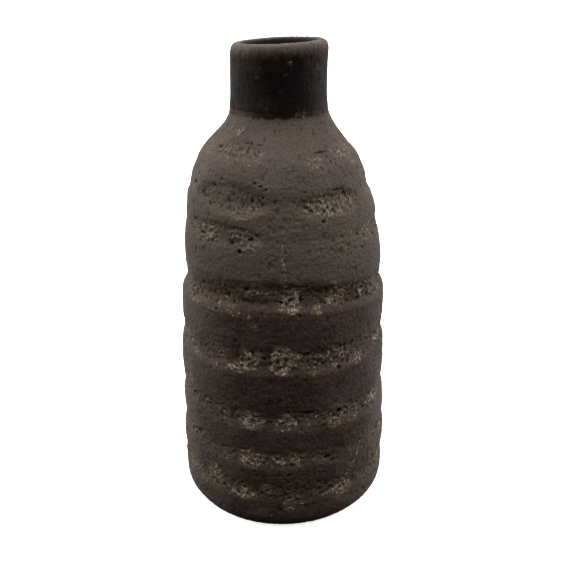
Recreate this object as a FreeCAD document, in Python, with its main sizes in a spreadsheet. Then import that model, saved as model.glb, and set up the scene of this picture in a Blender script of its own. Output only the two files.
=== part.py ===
"""Hand-built stoneware bottle vase, made of the clay pieces that a potter joins.

A round base slab carries a stack of clay courses. Each course is a strap wrapped into a
ring that bulges between its two joints. The courses widen into a low belly, close over a
rounded shoulder and end in a sloping cap with a round hole. A straight neck collar stands
on the cap, and a rounded lip closes the collar. Two thin coils are pressed into corners:
one inside on the base slab, one outside round the root of the neck.

Millimetres, +Z up, origin at the middle of the flat foot.
"""

import FreeCAD
import Part
import Sketcher

import math
import os

OUT_FOLDER = "parts"

# Driving dimensions of the base, the neck and the wall.
DIMENSIONS = {
    "slab_height": 9.0,
    "foot_radius": 46.5,
    "slab_radius": 66.0,
    "foot_inner_radius": 60.6,
    "foot_course_bulge": 2.2,
    "base_coil_size": 6.0,
    "wall": 7.6,
    "bore_radius": 20.5,
    "neck_radius": 28.5,
    "neck_root_height": 257.5,
    "neck_hole_drop": 4.0,
    "neck_coil_reach": 4.5,
    "neck_coil_height": 5.5,
    "lip_root_height": 286.0,
    "lip_shoulder_height": 294.5,
    "lip_shoulder_radius": 28.9,
    "lip_crest_radius": 24.6,
    "lip_inner_height": 296.0,
    "vase_height": 300.0,
}

# Where one course meets the next, from the foot up: the outer edge's height and radius,
# and how far the joint's inner edge lies below its outer edge. The joints of the upright
# wall rise inwards, and those of the shoulder fall inwards, square to the sloping wall.
JOINTS = [
    (34.0, 68.0, -2.5),
    (59.0, 67.6, -2.5),
    (86.5, 66.4, -2.5),
    (125.0, 64.6, -2.5),
    (163.5, 61.6, -1.5),
    (197.0, 58.3, 1.0),
    (218.0, 53.8, 2.5),
    (240.5, 44.2, 4.0),
]

# The courses above the foot course, each with how far it bulges between its joints.
COURSES = [
    ("wall_course_1", 1.5),
    ("wall_course_2", 1.5),
    ("wall_course_3", 1.6),
    ("wall_course_4", 1.5),
    ("shoulder_course_1", 1.8),
    ("shoulder_course_2", 1.4),
    ("shoulder_course_3", 1.6),
]


class Measure:
    """A size: the number it has now, and the expression on the sheet that gives it."""

    def __init__(self, value, text):
        self.value = float(value)
        self.text = text

    def __add__(self, other):
        return Measure(self.value + other.value, f"({self.text} + {other.text})")

    def __sub__(self, other):
        return Measure(self.value - other.value, f"({self.text} - {other.text})")

    def __mul__(self, other):
        return Measure(self.value * other.value, f"({self.text} * {other.text})")

    def __truediv__(self, other):
        return Measure(self.value / other.value, f"({self.text} / {other.text})")


ZERO = Measure(0, "0")
TWO = Measure(2, "2")


def fill_sheet(doc):
    """Puts every driving number in an aliased cell, and returns the sizes by alias."""
    cells = dict(DIMENSIONS)
    for number, (height, radius, drop) in enumerate(JOINTS, start=1):
        cells[f"joint{number}_height"] = height
        cells[f"joint{number}_radius"] = radius
        cells[f"joint{number}_drop"] = drop
    for name, bulge in COURSES:
        cells[f"{name}_bulge"] = bulge

    sheet = doc.addObject("Spreadsheet::Sheet", "Sizes")
    for row, (alias, value) in enumerate(cells.items(), start=1):
        sheet.set(f"A{row}", alias.replace("_", " "))
        sheet.set(f"B{row}", str(value))
        sheet.setAlias(f"B{row}", alias)
    doc.recompute()
    return {alias: Measure(value, f"Sizes.{alias}") for alias, value in cells.items()}


def chord_squared(start, stop):
    """The squared distance between two corners."""
    across, up = stop[0] - start[0], stop[1] - start[1]
    return across * across + up * up


def bowed(start, stop, bulge):
    """The radius of an arc that stands out by bulge at the middle of its chord."""
    eight = Measure(8, "8")
    return chord_squared(start, stop) / (eight * bulge) + bulge / TWO


def level_at_one_end(low, high):
    """The radius of an arc that runs level at one of its two corners."""
    return chord_squared(low, high) / (TWO * (high[1] - low[1]))


def draw_edge(start, stop, centre, radius=None):
    """An edge from start to stop: straight, or an arc that bows away from centre.

    Returns the edge, and the sketch's numbers for its point at start and at stop. A
    sketch keeps its arcs anticlockwise, so an arc can be stored the other way round.
    """
    if radius is None:
        return Part.LineSegment(start, stop), (1, 2)
    outward = FreeCAD.Vector(stop.y - start.y, start.x - stop.x, 0).normalize()
    middle = (start + stop) * 0.5
    if outward.dot(middle - centre) < 0:
        outward = outward * -1.0
    half_chord = (stop - start).Length / 2
    bulge = radius - math.sqrt(radius**2 - half_chord**2)
    arc = Part.Arc(start, middle + outward * bulge, stop)
    stored_forward = arc.StartPoint.isEqual(start, 1e-6)
    return arc, (1, 2) if stored_forward else (2, 1)


def turned_body(doc, label, corners, arcs=None):
    """A body turned about Z from a closed outline in the XZ plane.

    corners is a list of (radius, height) Measures, in order round the outline.
    arcs maps the index of an edge to its radius, where that edge bows away from the
    outline's middle. Every other edge is straight.
    """
    arcs = arcs or {}
    body = doc.addObject("PartDesign::Body", label)
    body.Label = label
    sketch = body.newObject("Sketcher::SketchObject", f"{label}_outline")
    plane = next(f for f in body.Origin.OriginFeatures if f.Role == "XZ_Plane")
    sketch.AttachmentSupport = [(plane, "")]
    sketch.MapMode = "FlatFace"

    places = [FreeCAD.Vector(radius.value, height.value, 0) for radius, height in corners]
    centre = sum(places, FreeCAD.Vector()) * (1.0 / len(places))
    ends = []
    for index, start in enumerate(places):
        stop = places[(index + 1) % len(places)]
        radius = arcs[index].value if index in arcs else None
        edge, points = draw_edge(start, stop, centre, radius)
        sketch.addGeometry(edge)
        ends.append(points)

    for index, (_, last_point) in enumerate(ends):
        following = (index + 1) % len(ends)
        first_point = ends[following][0]
        sketch.addConstraint(
            Sketcher.Constraint("Coincident", index, last_point, following, first_point)
        )

    bound = []
    for index, corner in enumerate(corners):
        first_point = ends[index][0]
        for axis, measure in zip("XY", corner):
            constraint = Sketcher.Constraint(
                f"Distance{axis}", -1, 1, index, first_point, measure.value
            )
            bound.append((sketch.addConstraint(constraint), f"corner_{index}_{axis}", measure))
    for index, measure in arcs.items():
        constraint = Sketcher.Constraint("Radius", index, measure.value)
        bound.append((sketch.addConstraint(constraint), f"arc_{index}", measure))
    for number, name, measure in bound:
        sketch.renameConstraint(number, name)
        sketch.setExpression(f"Constraints.{name}", measure.text)

    turn = body.newObject("PartDesign::Revolution", f"{label}_turned")
    turn.Profile = sketch
    turn.ReferenceAxis = (sketch, ["V_Axis"])
    turn.Angle = 360.0
    sketch.Visibility = False
    return body


def joint_edges(sizes, number):
    """The outer and the inner corner of a joint between two courses."""
    radius, height = sizes[f"joint{number}_radius"], sizes[f"joint{number}_height"]
    outer = (radius, height)
    inner = (radius - sizes["wall"], height - sizes[f"joint{number}_drop"])
    return outer, inner


def base_slab(doc, sizes):
    """The round floor of the vase, with a flat foot and a rounded outer edge."""
    rim = (sizes["slab_radius"], sizes["slab_height"])
    foot = (sizes["foot_radius"], ZERO)
    corners = [(ZERO, ZERO), foot, rim, (ZERO, sizes["slab_height"])]
    return turned_body(doc, "base_slab", corners, {1: level_at_one_end(foot, rim)})


def base_inner_coil(doc, sizes):
    """The thin coil pressed into the inside corner of the slab and the wall."""
    edge, floor = sizes["foot_inner_radius"], sizes["slab_height"]
    reach = sizes["base_coil_size"]
    corners = [(edge - reach, floor), (edge, floor), (edge, floor + reach)]
    return turned_body(doc, "base_inner_coil", corners)


def foot_course(doc, sizes):
    """The lowest ring of the wall, which stands on the slab and is upright inside."""
    outer, inner = joint_edges(sizes, 1)
    rim = (sizes["slab_radius"], sizes["slab_height"])
    corners = [
        rim,
        outer,
        (sizes["foot_inner_radius"], inner[1]),
        (sizes["foot_inner_radius"], sizes["slab_height"]),
    ]
    face = bowed(rim, outer, sizes["foot_course_bulge"])
    return turned_body(doc, "foot_course", corners, {0: face})


def wall_course(doc, sizes, label, number):
    """A course between two joints, bowed outwards between them."""
    low_outer, low_inner = joint_edges(sizes, number)
    high_outer, high_inner = joint_edges(sizes, number + 1)
    if number == 1:
        low_inner = (sizes["foot_inner_radius"], low_inner[1])
    corners = [low_outer, high_outer, high_inner, low_inner]
    face = bowed(low_outer, high_outer, sizes[f"{label}_bulge"])
    return turned_body(doc, label, corners, {0: face})


def shoulder_cap(doc, sizes):
    """The sloping ring that closes the shoulder down to the neck's round hole."""
    low_outer, low_inner = joint_edges(sizes, len(JOINTS))
    root = sizes["neck_root_height"]
    corners = [
        low_outer,
        (sizes["neck_radius"], root),
        (sizes["bore_radius"], root),
        (sizes["bore_radius"], root - sizes["neck_hole_drop"]),
        low_inner,
    ]
    return turned_body(doc, "shoulder_cap", corners)


def neck_fillet_coil(doc, sizes):
    """The coil smoothed into the outside corner of the neck and the shoulder cap."""
    neck, root, reach = sizes["neck_radius"], sizes["neck_root_height"], sizes["neck_coil_reach"]
    cap_edge, _ = joint_edges(sizes, len(JOINTS))
    slope = (root - cap_edge[1]) / (cap_edge[0] - neck)
    corners = [
        (neck, root),
        (neck + reach, root - reach * slope),
        (neck, root + sizes["neck_coil_height"]),
    ]
    return turned_body(doc, "neck_fillet_coil", corners)


def neck_collar(doc, sizes):
    """The straight tube of the neck."""
    corners = [
        (sizes["neck_radius"], sizes["neck_root_height"]),
        (sizes["neck_radius"], sizes["lip_root_height"]),
        (sizes["bore_radius"], sizes["lip_root_height"]),
        (sizes["bore_radius"], sizes["neck_root_height"]),
    ]
    return turned_body(doc, "neck_collar", corners)


def lip_roll(doc, sizes):
    """The rounded lip: an outer shoulder, a crest, and an inner edge above the bore."""
    shoulder = (sizes["lip_shoulder_radius"], sizes["lip_shoulder_height"])
    crest = (sizes["lip_crest_radius"], sizes["vase_height"])
    inner_edge = (sizes["bore_radius"], sizes["lip_inner_height"])
    corners = [
        (sizes["neck_radius"], sizes["lip_root_height"]),
        shoulder,
        crest,
        inner_edge,
        (sizes["bore_radius"], sizes["lip_root_height"]),
    ]
    roundings = {
        1: level_at_one_end(shoulder, crest),
        2: level_at_one_end(inner_edge, crest),
    }
    return turned_body(doc, "lip_roll", corners, roundings)


def check_document(doc, bodies):
    """Stops if any object failed, or any body is empty, open or more than one solid."""
    failed = [thing.Name for thing in doc.Objects if {"Invalid", "Error"} & set(thing.State)]
    if failed:
        raise RuntimeError(f"objects that failed: {failed}")
    for body in bodies:
        shape = body.Shape
        if shape.isNull() or not shape.isValid() or len(shape.Solids) != 1:
            raise RuntimeError(f"{body.Label} is not one valid solid")


def main():
    doc = FreeCAD.newDocument("stoneware_vase")
    sizes = fill_sheet(doc)
    bodies = [
        base_slab(doc, sizes),
        base_inner_coil(doc, sizes),
        foot_course(doc, sizes),
    ]
    for number, (label, _) in enumerate(COURSES, start=1):
        bodies.append(wall_course(doc, sizes, label, number))
    bodies.append(shoulder_cap(doc, sizes))
    bodies.append(neck_fillet_coil(doc, sizes))
    bodies.append(neck_collar(doc, sizes))
    bodies.append(lip_roll(doc, sizes))
    doc.recompute()
    check_document(doc, bodies)

    os.makedirs(OUT_FOLDER, exist_ok=True)
    for body in bodies:
        box = body.Shape.optimalBoundingBox()
        print(
            f"{body.Label:18s} volume {body.Shape.Volume / 1000:8.2f} cm3  "
            f"z {box.ZMin:6.1f} to {box.ZMax:6.1f}  radius {box.XMax:5.1f}"
        )
        body.Shape.exportStep(os.path.join(OUT_FOLDER, f"{body.Label}.step"))


main()
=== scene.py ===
# %% [markdown]
# # A hand-built stoneware bottle vase
#
# A potter builds this vase from a floor slab and a stack of clay straps, each wrapped into
# a ring and luted to the one below. The straps are smoothed with a damp rag, but most of
# the joints are left rough. Dark slip covers the pot, and pale clay shows through it where
# the rough joints were rubbed. This notebook loads the plain turned rings of the design
# model and gives each of them the real, uneven, pitted surface.
#
# The whole outside is worked out once, as arrays on one grid of angles and heights. The
# pieces are then cut out of that grid along wandering joint lines, so neighbours meet
# exactly. Sculpting by hand or stacking Displace modifiers could give a similar surface,
# but arrays let one mark change the shape and the colour together.

# %% Load the frame
import math

import bpy
import numpy as np
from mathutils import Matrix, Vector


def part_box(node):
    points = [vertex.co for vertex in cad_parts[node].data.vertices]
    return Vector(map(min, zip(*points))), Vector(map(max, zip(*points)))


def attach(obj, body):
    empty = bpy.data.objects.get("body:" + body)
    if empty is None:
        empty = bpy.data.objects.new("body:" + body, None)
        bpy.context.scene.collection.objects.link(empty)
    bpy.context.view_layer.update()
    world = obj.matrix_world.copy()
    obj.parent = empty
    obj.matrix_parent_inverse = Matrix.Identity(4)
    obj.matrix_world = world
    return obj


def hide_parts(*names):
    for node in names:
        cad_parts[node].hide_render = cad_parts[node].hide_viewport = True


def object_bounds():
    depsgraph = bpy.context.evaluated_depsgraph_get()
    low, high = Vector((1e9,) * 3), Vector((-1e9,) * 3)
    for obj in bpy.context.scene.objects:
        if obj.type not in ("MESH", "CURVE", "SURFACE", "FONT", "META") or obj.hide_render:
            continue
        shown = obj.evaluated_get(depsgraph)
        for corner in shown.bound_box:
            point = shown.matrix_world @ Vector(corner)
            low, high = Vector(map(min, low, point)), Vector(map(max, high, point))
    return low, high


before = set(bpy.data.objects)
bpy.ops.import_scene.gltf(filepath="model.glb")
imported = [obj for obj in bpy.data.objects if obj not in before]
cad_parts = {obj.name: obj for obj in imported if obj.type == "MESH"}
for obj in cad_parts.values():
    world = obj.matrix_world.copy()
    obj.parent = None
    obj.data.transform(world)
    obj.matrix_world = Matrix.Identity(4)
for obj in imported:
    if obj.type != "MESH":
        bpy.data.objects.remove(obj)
cad_low, cad_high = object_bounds()
MM = 0.001
TURN = 2 * math.pi
HEIGHT = (cad_high.z - cad_low.z) / MM
print("vase height in mm:", round(HEIGHT, 1), "nodes:", len(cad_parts))

# %% [markdown]
# ## Camera
#
# A camera can be aimed by hand, with a Track To constraint, or by numbers. Numbers in
# terms of the vase's own height keep the view right if the model is scaled. This one
# stands one and a half heights away, a little above the rim, and looks down at the belly.

# %% The camera
CAMERA_PLACE = (HEIGHT / 60, -1.5 * HEIGHT, 1.118 * HEIGHT)
CAMERA_TILT = 66.94
LENS = 46.3

camera_data = bpy.data.cameras.new("camera")
camera_data.lens = LENS
camera = bpy.data.objects.new("camera", camera_data)
camera.location = [part * MM for part in CAMERA_PLACE]
camera.rotation_euler = (math.radians(CAMERA_TILT), 0, 0)
bpy.context.scene.collection.objects.link(camera)
bpy.context.scene.camera = camera

# %% [markdown]
# ## Steps, humps and smooth lines
#
# Everything on the pot is a soft shape, so three small formulas do most of the work: an
# S-shaped step, a hump with a soft foot, and a smooth line through a few points. Blender's
# curves could give the outline too, but a formula can be read at any height at once.

# %% Shape formulas
def step(low, high, x):
    """0 below low, 1 above high, and 3t^2 - 2t^3 between them, where t runs from 0 to 1."""
    t = np.clip((x - low) / (high - low), 0, 1)
    return t * t * (3 - 2 * t)


def hump(distance, half):
    """1 where distance is 0, falling as (1 - t^2)^2 to 0 at half away, on both sides."""
    t = np.clip(np.abs(distance) / half, 0, 1)
    return (1 - t * t) ** 2


def smooth_line(x, points):
    """A cubic through (x, y) points whose slope at each point follows its neighbours."""
    px, py = np.array(points, float).T
    slope = np.gradient(py, px)
    i = np.clip(np.searchsorted(px, x) - 1, 0, len(px) - 2)
    gap = px[i + 1] - px[i]
    t = np.clip((x - px[i]) / gap, 0, 1)
    rise = t * t * (3 - 2 * t)
    leave = t * (1 - t) ** 2 * gap * slope[i]
    arrive = t * t * (t - 1) * gap * slope[i + 1]
    return py[i] + (py[i + 1] - py[i]) * rise + leave + arrive

# %% [markdown]
# ## Noise that closes round the pot
#
# Clay needs randomness at every size: lumps, tears, grains and pits. Blender's noise
# textures can't be read by a mesh script, so two noises are worked out here. Both live on
# a lattice of cells wrapped round the pot, so they have no seam at the back. Each one has
# a seed of its own, so the pot is the same pot every time.

# %% The lattice and the noise on it
LATTICE_RADIUS = 66.0
LATTICE_LOW = -12.0
LATTICE_HIGH = 330.0
NOISE_GAIN = 1.6


def lattice(angle, height, cell, wide):
    """The cell that each point falls in, its place in that cell, and the lattice's size."""
    around = max(4, round(TURN * LATTICE_RADIUS / (cell * wide)))
    rows = int((LATTICE_HIGH - LATTICE_LOW) / cell) + 4
    u = (angle / TURN) % 1.0 * around
    v = (height - LATTICE_LOW) / cell + 1
    i, j = np.floor(u).astype(int), np.floor(v).astype(int)
    return i, j, u - i, v - j, around, rows


def noise(angle, height, cell, seed, wide=1.0):
    """Perlin's noise, from about -1 to 1: a random slope at each corner of each cell, and
    at a point the four corners' slopes blended by how near they are."""
    i, j, fu, fv, around, rows = lattice(angle, height, cell, wide)
    lean = np.random.default_rng(seed).uniform(0, TURN, (rows, around))
    lean_u, lean_v = np.cos(lean), np.sin(lean)
    total = 0.0
    for du, weight_u in ((0, 1 - step(0, 1, fu)), (1, step(0, 1, fu))):
        for dv, weight_v in ((0, 1 - step(0, 1, fv)), (1, step(0, 1, fv))):
            row, column = np.clip(j + dv, 0, rows - 1), (i + du) % around
            slope = lean_u[row, column] * (fu - du) + lean_v[row, column] * (fv - dv)
            total = total + weight_u * weight_v * slope
    return NOISE_GAIN * total


def layered(angle, height, cell, seed, layers=3, wide=1.0):
    """Noise, plus half as much at half the size, and so on for the given layers."""
    total = 0.0
    for layer in range(layers):
        part = noise(angle, height, cell / 2**layer, seed + 17 * layer, wide)
        total = total + part / 2**layer
    return total


print("cells of 10 mm in one turn:", round(TURN * LATTICE_RADIUS / 10))

# %% Pits
SMALLEST_PIT, LARGEST_PIT = 0.12, 0.48  # radius as a share of a cell
NO_PIT = 1e-6


def pits(angle, height, cell, share, seed, wide=1.0):
    """Round bowls, 1 at the middle of the largest and 0 outside. A share of the cells holds
    one bowl each, of random place and radius, and its depth goes with its radius."""
    i, j, fu, fv, around, rows = lattice(angle, height, cell, wide)
    rng = np.random.default_rng(seed)
    middle_u, middle_v, size, chance = rng.random((4, rows, around))
    spread = LARGEST_PIT - SMALLEST_PIT
    radius = np.where(chance < share, SMALLEST_PIT + spread * size**2, NO_PIT)
    deepest = 0.0
    for du in (-1, 0, 1):
        for dv in (-1, 0, 1):
            row, column = np.clip(j + dv, 0, rows - 1), (i + du) % around
            away = (fu - du - middle_u[row, column]) ** 2
            away = away + (fv - dv - middle_v[row, column]) ** 2
            r = radius[row, column]
            bowl = np.clip(1 - away / r**2, 0, 1) * r / LARGEST_PIT
            deepest = np.maximum(deepest, bowl)
    return deepest

# %% [markdown]
# ## The joint lines
#
# The design model gives the height of every joint between two straps. On the real pot no
# joint is level: each one leans a little and wanders up and down by a millimetre or two,
# and the one under the shoulder arches up at the front. A sum of a few cosines, each with
# its own random start, makes such a line and closes on itself at the back.

# %% Where the joints run
COLUMNS = 900
ANGLE = (np.arange(COLUMNS) / COLUMNS - 0.5) * TURN
DEGREES = np.degrees(ANGLE)

COURSES = [
    "foot_course",
    "wall_course_1",
    "wall_course_2",
    "wall_course_3",
    "wall_course_4",
    "shoulder_course_1",
    "shoulder_course_2",
    "shoulder_course_3",
    "shoulder_cap",
]
UPRIGHT_JOINTS = 5
JOINT_LEAN = 1.2
ARCH = 5.0
ARCH_HALF = 62
JOINT_WANDER = 0.7


def designed_joint(number):
    """The height of a joint's outer edge: the upper ring's bottom where the joint rises
    inwards, as in the upright wall, and the lower ring's top on the shoulder."""
    if number <= UPRIGHT_JOINTS:
        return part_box(COURSES[number])[0].z / MM
    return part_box(COURSES[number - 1])[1].z / MM


def wander(seed, size, waves=7):
    """A closed wavy line: cosines of 1 to waves turns, each weaker than the last."""
    start = np.random.default_rng(seed).uniform(0, TURN, waves)
    line = sum(np.cos((n + 1) * ANGLE + start[n]) / (n + 1) for n in range(waves))
    return size * line


def joint_line(number):
    """The height of a joint at every angle: it leans, wanders, and the top joint of the
    upright wall arches up by ARCH at the front."""
    lean = JOINT_LEAN * np.sin(ANGLE)
    arch = ARCH * (hump(DEGREES, ARCH_HALF) - 0.5) if number == UPRIGHT_JOINTS else 0.0
    return designed_joint(number) - lean + arch + wander(100 + number, JOINT_WANDER)


JOINTS = [joint_line(number) for number in range(1, len(COURSES))]
SLAB_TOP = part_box("base_slab")[1].z / MM
NECK_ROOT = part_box("neck_collar")[0].z / MM
LIP_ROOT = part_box("lip_roll")[0].z / MM + wander(121, 0.25)
print("joints at the front, mm:", [round(float(j[COLUMNS // 2]), 1) for j in JOINTS])

# %% [markdown]
# ## The outline
#
# The outline is the mean radius at each height: a low belly, a long gentle taper, a
# rounded shoulder and a short neck with a slight waist. Below the belly the foot is a
# quarter of an ellipse, rounded more tightly on one side. The pot also leans a little, its
# shoulder is fuller on one side, and its rim isn't level. One line of sideways shifts and
# one tilt describe that.

# %% Mean radius and lean
GRID_STEP = 0.45
LEVELS = np.arange(0, HEIGHT + GRID_STEP, GRID_STEP)[:, None]

# height and radius in mm
OUTLINE = [
    (0, 68.2), (20, 68.5), (45, 68.4), (80, 67.5), (110, 66.2), (140, 64.8), (165, 62.3),
    (185, 60.7), (200, 58.6), (215, 55.3), (228, 51.1), (240, 44.7), (248, 37.4),
    (254, 32.4), (259, 29.9), (265, 29.2), (278, 28.6), (286, 28.5), (300, 28.9),
]
FOOT_ROUNDING_WIDTH = 22.0
FOOT_ROUNDING_HEIGHT = 16.0
FOOT_LOPSIDED = 0.20

# height, and how far the middle of the pot is shifted to the right there, in mm
LEAN = [
    (0, 0.2), (55, 0.8), (95, 0.1), (130, 0.1), (165, 0.6), (185, -0.4), (202, -1.0),
    (220, -2.4), (233, -2.1), (244, -2.9), (256, -1.8), (270, -1.8), (300, -1.2),
]
RIM_TILT = 1.05
RIM_DROP = 0.35


def mean_radius(height):
    """The smooth outline, less an ellipse's fall-away below the foot's rounding, which is
    a little tighter on one side."""
    t = np.clip(1 - height / FOOT_ROUNDING_HEIGHT, 0, 1)
    tighter = 1 - FOOT_LOPSIDED * (0.5 + 0.5 * np.sin(ANGLE))
    fall = FOOT_ROUNDING_WIDTH * tighter * (1 - np.sqrt(1 - t * t))
    return smooth_line(height, OUTLINE) - fall


def place(radius, height):
    """Turns radius and height at each angle into x, y, z in metres. The centre shifts
    sideways as the pot leans, and up the neck the rings tilt to one side."""
    rim = (RIM_TILT * np.sin(ANGLE) - RIM_DROP) * step(262, 292, height)
    x = radius * np.sin(ANGLE) + smooth_line(height, LEAN)
    y = -radius * np.cos(ANGLE)
    return np.stack([x, y, height + rim + 0 * x], axis=-1) * MM


widest = mean_radius(LEVELS).max()
print("widest mean radius, mm:", round(float(widest), 1), "levels:", len(LEVELS))

# %% [markdown]
# ## Straps that bulge and step back
#
# Between two joints a strap bulges out a little, more at the sides than at the front,
# which was paddled flat. Each strap of the upright wall also stands steeper than the
# outline and is set back from the one below it, because each ring was stood just inside
# the edge of the last. A lathe profile can't do that along a joint that wanders, so both
# are worked out from the joint lines themselves.

# %% Bulges and ledges
BULGE = [0.6, 0.7, 0.7, 0.8, 0.9, 0.7, 0.6, 0.5, 0.0]
FRONT_SHARE = 0.45
PADDLED_HALF = 75
UPRIGHT_SHARE = 0.55
# how far under a joint its ledge starts and ends, in mm
LEDGE_FOOT, LEDGE_TOP = 10, 3.5


def degrees_from(middle):
    """The angle from a place to every column, from -180 to 180 degrees."""
    return (DEGREES - middle + 180) % 360 - 180


def strap_bulges(height):
    """How far the straps stand out: bulge * (1 - |2f - 1|^3)^1.5, where f runs from 0 to 1
    between a strap's two joints. They were paddled flatter at the front."""
    edges = [SLAB_TOP + 0 * ANGLE] + JOINTS + [NECK_ROOT + 0 * ANGLE]
    total = 0.0
    for bulge, low, high in zip(BULGE, edges, edges[1:]):
        f = np.clip((height - low) / (high - low), 0, 1)
        total = total + bulge * (1 - np.abs(2 * f - 1) ** 3) ** 1.5
    return total * (1 - (1 - FRONT_SHARE) * hump(DEGREES, PADDLED_HALF))


def set_back(height):
    """Each wall strap stands more upright than the outline and is set in from the one
    below: part of the way from the outline to a line that is level along each strap and
    drops to the next one's middle radius at the ledge under each joint."""
    edges = [SLAB_TOP + 0 * ANGLE] + JOINTS[: UPRIGHT_JOINTS + 1]
    middle = [smooth_line((low + high) / 2, OUTLINE) for low, high in zip(edges, edges[1:])]
    upright = middle[0]
    for joint, below, above in zip(JOINTS, middle, middle[1:]):
        ledge = step(joint - LEDGE_FOOT, joint - LEDGE_TOP, height)
        upright = upright + (above - below) * ledge
    share = UPRIGHT_SHARE * step(16, 40, height) * (1 - step(158, 176, height))
    return share * (upright - smooth_line(height, OUTLINE))


print("most that a strap bulges, mm:", round(float(strap_bulges(LEVELS).max()), 2))

# %% [markdown]
# ## Rough joints and finger dents
#
# At a joint the wall falls into a rough, torn band with a steep upper edge, because the
# upper strap was laid over the lower one. On the shoulder the joints were closed by
# finger, which leaves long oval dents instead of whole bands. One formula serves both: a
# stretch of a joint with a middle, a half width in degrees, a shift, a half height and a
# depth in millimetres. The front ones are listed one by one, and the ones at the back
# repeat their pattern with other numbers.

# %% The stretches of rough joint
# joint, middle and half width in degrees, shift up, half height, depth and the height
# over which the upper edge falls in, in mm
STRETCHES = [
    (1, 0, 400, 0.0, 7.5, 0.5, 4.0),
    (2, 0, 400, 0.0, 6.5, 0.5, 4.0),
    (3, 0, 400, 0.0, 6.5, 0.5, 3.0),
    (4, 0, 400, 0.0, 8.5, 0.6, 3.5),
    (5, 0, 400, 0.0, 8.5, 0.7, 4.5),
    (5, -5, 48, 1.5, 8.0, 1.0, 6.5),
    (6, -38, 33, 0.5, 8.0, 1.7, 4.0),
    (6, 40, 27, -5.0, 9.0, 0.3, 6.0),
    (6, 95, 30, 0.0, 6.5, 0.8, 4.0),
    (6, 165, 34, 1.0, 7.0, 0.9, 4.0),
    (6, -125, 38, 0.5, 6.0, 0.8, 4.0),
    (7, -30, 29, 2.0, 10.0, 3.0, 7.0),
    (7, 36, 27, -2.0, 8.0, 1.8, 4.0),
    (7, 100, 30, 0.0, 7.5, 1.3, 6.0),
    (7, 162, 26, 1.0, 7.0, 1.2, 6.0),
    (7, -110, 36, 0.0, 7.5, 1.4, 6.0),
    (8, -37, 33, 2.0, 6.5, 1.3, 5.0),
    (8, 42, 26, -2.5, 5.5, 1.3, 3.0),
    (8, 115, 34, 1.0, 5.5, 0.9, 4.5),
    (8, -175, 24, 1.5, 5.0, 0.8, 4.5),
    (8, -112, 28, 1.0, 5.5, 0.9, 4.5),
]


def rough_band(height, stretch, seed):
    """The depth in mm and the roughness from 0 to 1 of one stretch. Across the joint it
    falls in at the top edge and rises slowly at the bottom one, and both are ragged."""
    number, middle, half_width, shift, half_height, depth, fall = stretch
    above = height - JOINTS[number - 1] - shift
    ends = hump(degrees_from(middle), half_width) ** 0.5
    reach = half_height * (0.25 + 0.75 * ends)
    ragged = layered(ANGLE, height, 9.0, seed, 4, wide=1.6) * min(1, 3 / fall)
    top = reach + 1.6 * ragged
    bottom = -reach - 2.0 * ragged
    inside = step(bottom - 1.5, bottom + 4.5, above) * (1 - step(top - fall, top + 1, above))
    weight = step(0.0, 0.6, ends)
    return depth * inside * weight, min(1, 2 * depth) * inside * weight


def all_bands(height):
    """Every stretch together: depths add up where they overlap, and roughness is the most."""
    depth, rough = 0.0, 0.0
    for index, stretch in enumerate(STRETCHES):
        level = 0.65 + 0.35 * noise(ANGLE, height, 45.0, 300 + index, wide=1.5)
        one_depth, one_rough = rough_band(height, stretch, 200 + index)
        depth = depth + one_depth * level
        rough = np.maximum(rough, one_rough * np.clip(level + 0.15, 0, 1))
    return depth, rough


band_depth, band_rough = all_bands(LEVELS)
print("deepest band, mm:", round(float(band_depth.max()), 2))

# %% [markdown]
# ## Single marks
#
# Some marks are one of a kind: deep pits where a stone fell out, a gash under a joint, the
# upright seam where each strap's two ends meet at the front, and a thin curved scratch.
# They are small formulas on the same grid, each with a place in degrees and millimetres.

# %% Pits, gash, seam and scratch
# angle in degrees, height, half width, half height and depth in mm
HOLES = [
    (7, 98, 0.9, 0.7, 0.8), (5, 99, 0.7, 0.6, 0.6), (13.5, 90.5, 3.6, 1.2, 1.4),
    (32, 87, 2.4, 2.0, 1.7), (28.5, 84.5, 1.2, 1.0, 1.0), (31.5, 117, 1.3, 1.2, 1.2),
    (24, 57, 2.4, 1.6, 1.6), (21, 59.5, 1.0, 0.8, 0.8), (3, 48, 1.4, 1.2, 1.5),
    (-21, 64.5, 3.0, 0.7, 0.8), (-15, 49.5, 1.2, 0.7, 0.7), (-21, 48.5, 1.4, 0.6, 0.7),
    (-49, 196.5, 2.6, 1.0, 1.4), (-22, 191, 1.4, 1.3, 1.5), (-57, 203, 2.2, 0.8, 1.0),
    (-27, 195, 1.5, 1.0, 1.0), (-14, 228.5, 1.3, 0.7, 0.9), (-63, 223.5, 3.0, 1.0, 1.2),
    (-10, 227, 1.1, 0.7, 0.8), (-6.5, 225.5, 0.9, 0.7, 0.7), (-8, 221, 0.8, 0.7, 0.7),
    (26.5, 207, 1.4, 1.0, 1.1), (53, 187, 1.2, 0.6, 0.8), (50, 195, 0.9, 0.6, 0.7),
    (-51, 244, 2.0, 0.8, 0.9), (-25, 247.5, 3.0, 0.5, 0.7), (17, 224, 1.2, 0.5, 0.6),
    (-14, 247, 2.0, 0.4, 0.5), (36, 242.5, 5.5, 0.5, 0.6), (40, 222.5, 6.0, 0.5, 0.6),
    (-37, 154, 1.0, 1.0, 1.0), (-59, 155, 1.6, 0.8, 0.9), (9, 154.5, 1.3, 0.7, 0.8),
    (49, 163, 1.8, 1.1, 1.1), (18, 109, 0.7, 0.7, 0.8), (-33, 80, 0.8, 0.7, 0.7),
    (120, 92, 1.8, 1.3, 1.3), (160, 56, 2.0, 1.2, 1.2), (-150, 126, 1.6, 1.6, 1.3),
    (-100, 201, 2.2, 1.2, 1.2), (175, 166, 2.6, 1.1, 1.2), (140, 219, 1.8, 1.1, 1.1),
]
SEAM_TOP, SEAM_FOOT = 218.0, 172.0
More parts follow.
